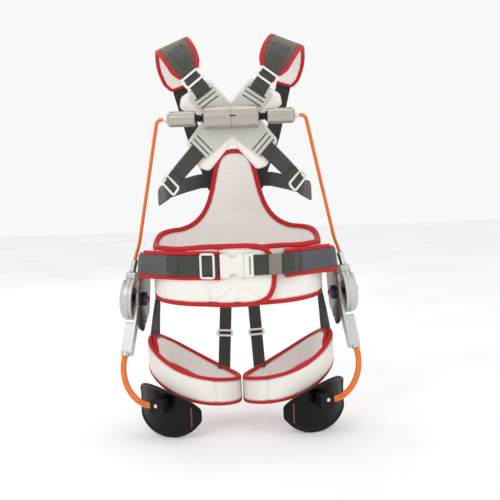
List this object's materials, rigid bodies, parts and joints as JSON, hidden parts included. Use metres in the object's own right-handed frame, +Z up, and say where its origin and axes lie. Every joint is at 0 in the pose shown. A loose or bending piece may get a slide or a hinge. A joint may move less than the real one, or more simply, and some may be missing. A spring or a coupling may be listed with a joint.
{
  "type": "wearable lift-assist harness",
  "caption": "Padded belt, back pad, thigh loops and shoulder straps carrying hip drive units, sprung rods to a chest plate, and curved thigh pads.",
  "frame": {"origin": "on the hip axis, midway between the two drive units, in the middle of the belt ring", "axes": "+Z up along the wearer's spine; the wearer faces -Y; +X is the wearer's left, so parts named left are at +X"},
  "size_m": [0.5152, 0.3282, 0.8253],
  "materials": {
    "white_fabric": "padded woven cover",
    "inner_fabric": "soft brushed lining",
    "olive_fabric": "woven cover",
    "webbing": "woven webbing",
    "dark_webbing": "woven webbing",
    "white_plastic": "moulded",
    "plate_metal": "satin",
    "steel": "brushed",
    "dark_steel": "blackened",
    "orange_rod": "gloss",
    "case_paint": "satin",
    "brown_metal": "polished brown",
    "bronze": "satin",
    "black_shell": "satin",
    "black_block": "satin"
  },
  "bodies": {
    "pelvis": {"belt_pad_back": "white_fabric", "belt_pad_front_left": "white_fabric", "belt_pad_front_right": "white_fabric", "belt_webbing_left": "webbing", "belt_webbing_right": "webbing", "buckle_socket": "white_plastic", "buckle_plug": "white_plastic", "hip_plate_left": "brown_metal", "hip_plate_right": "brown_metal", "hip_bolt_left": "bronze", "hip_bolt_right": "bronze", "leg_loop_left": "white_fabric", "leg_loop_right": "white_fabric", "leg_side_strap_left": "webbing", "leg_side_strap_right": "webbing", "leg_rear_strap_left": "webbing", "leg_rear_strap_right": "webbing"},
    "torso": {"back_pad_upper": "inner_fabric", "chest_plate": "plate_metal", "chest_pad": "white_fabric", "chest_cylinder_left": "steel", "chest_cylinder_right": "steel", "chest_shaft": "dark_steel", "side_cylinder_left": "steel", "side_cylinder_right": "steel", "torso_rod_left": "orange_rod", "torso_rod_right": "orange_rod", "rod_sleeve_left": "steel", "rod_sleeve_right": "steel", "hip_casing_left": "case_paint", "hip_casing_right": "case_paint", "spring_pack_left": "brown_metal", "spring_pack_right": "brown_metal", "shoulder_pad_left": "olive_fabric", "shoulder_pad_right": "olive_fabric", "shoulder_strap_left": "webbing", "shoulder_strap_right": "webbing", "back_strap_left": "dark_webbing", "back_strap_right": "dark_webbing", "side_strap_left": "webbing", "side_strap_right": "webbing"},
    "buckle_tab_upper_body": {"buckle_tab_upper": "white_plastic"},
    "buckle_tab_lower_body": {"buckle_tab_lower": "white_plastic"},
    "belt_slider_body": {"belt_slider": "white_plastic"},
    "lock_pin_left_body": {"lock_pin_left": "steel"},
    "lock_pin_right_body": {"lock_pin_right": "steel"},
    "leg_arm_left": {"leg_link_left": "case_paint", "leg_tube_left": "orange_rod", "pad_clamp_left": "black_block"},
    "leg_arm_right": {"leg_link_right": "case_paint", "leg_tube_right": "orange_rod", "pad_clamp_right": "black_block"},
    "thigh_pad_body_left": {"thigh_pad_left": "black_shell"},
    "thigh_pad_body_right": {"thigh_pad_right": "black_shell"},
    "rear_slider_left_body": {"rear_slider_left": "white_plastic"},
    "rear_slider_right_body": {"rear_slider_right": "white_plastic"},
    "shoulder_slider_left_body": {"shoulder_slider_left": "white_plastic"},
    "shoulder_slider_right_body": {"shoulder_slider_right": "white_plastic"},
    "side_slider_left_body": {"side_slider_left": "white_plastic"},
    "side_slider_right_body": {"side_slider_right": "white_plastic"}
  },
  "joints": [
    {"name": "torso_lean", "type": "hinge", "parent": "pelvis", "child": "torso", "pos_m": [0, 0, 0], "axis": [1, 0, 0], "range_deg": [0, 15]},
    {"name": "leg_swing_left", "type": "hinge", "parent": "pelvis", "child": "leg_arm_left", "pos_m": [0.233, 0, 0], "axis": [-0.9811, -0.173, -0.0872], "range_deg": [0, 90]},
    {"name": "thigh_pad_tilt_left", "type": "hinge", "parent": "leg_arm_left", "child": "thigh_pad_body_left", "pos_m": [0.16231, -0.11551, -0.209], "axis": [0.8746, 0.4848, 0], "range_deg": [-10, 10]},
    {"name": "lock_pin_slide_left", "type": "slide", "parent": "torso", "child": "lock_pin_left_body", "axis": [0.9811, 0.173, 0.0872], "range_m": [0, 0.004]},
    {"name": "leg_swing_right", "type": "hinge", "parent": "pelvis", "child": "leg_arm_right", "pos_m": [-0.233, 0, 0], "axis": [-0.9811, 0.173, 0.0872], "range_deg": [0, 90]},
    {"name": "thigh_pad_tilt_right", "type": "hinge", "parent": "leg_arm_right", "child": "thigh_pad_body_right", "pos_m": [-0.16231, -0.11551, -0.209], "axis": [-0.8746, 0.4848, 0], "range_deg": [-10, 10]},
    {"name": "lock_pin_slide_right", "type": "slide", "parent": "torso", "child": "lock_pin_right_body", "axis": [-0.9811, 0.173, 0.0872], "range_m": [0, 0.004]},
    {"name": "buckle_tab_upper_press", "type": "slide", "parent": "pelvis", "child": "buckle_tab_upper_body", "axis": [0, 0, -1], "range_m": [0, 0.0025], "stiffness_N_per_m": 1500, "springref_m": -0.0005},
    {"name": "buckle_tab_lower_press", "type": "slide", "parent": "pelvis", "child": "buckle_tab_lower_body", "axis": [0, 0, 1], "range_m": [0, 0.0025], "stiffness_N_per_m": 1500, "springref_m": -0.0005},
    {"name": "belt_slider_adjust", "type": "slide", "parent": "pelvis", "child": "belt_slider_body", "axis": [-0.9441, 0.3296, 0], "range_m": [-0.005, 0.005]},
    {"name": "shoulder_slider_left_adjust", "type": "slide", "parent": "torso", "child": "shoulder_slider_left_body", "axis": [0.558, 0.4012, 0.7264], "range_m": [-0.0015, 0.0005]},
    {"name": "side_slider_left_adjust", "type": "slide", "parent": "torso", "child": "side_slider_left_body", "axis": [-0.5517, -0.4138, 0.7241], "range_m": [-0.003, 0.006]},
    {"name": "rear_slider_left_adjust", "type": "slide", "parent": "pelvis", "child": "rear_slider_left_body", "axis": [-0.0578, 0.2781, 0.9588], "range_m": [-0.03, 0.03]},
    {"name": "shoulder_slider_right_adjust", "type": "slide", "parent": "torso", "child": "shoulder_slider_right_body", "axis": [-0.558, 0.4012, 0.7264], "range_m": [-0.0015, 0.0005]},
    {"name": "side_slider_right_adjust", "type": "slide", "parent": "torso", "child": "side_slider_right_body", "axis": [0.5517, -0.4138, 0.7241], "range_m": [-0.003, 0.006]},
    {"name": "rear_slider_right_adjust", "type": "slide", "parent": "pelvis", "child": "rear_slider_right_body", "axis": [0.0578, 0.2781, 0.9588], "range_m": [-0.03, 0.03]}
  ]
}
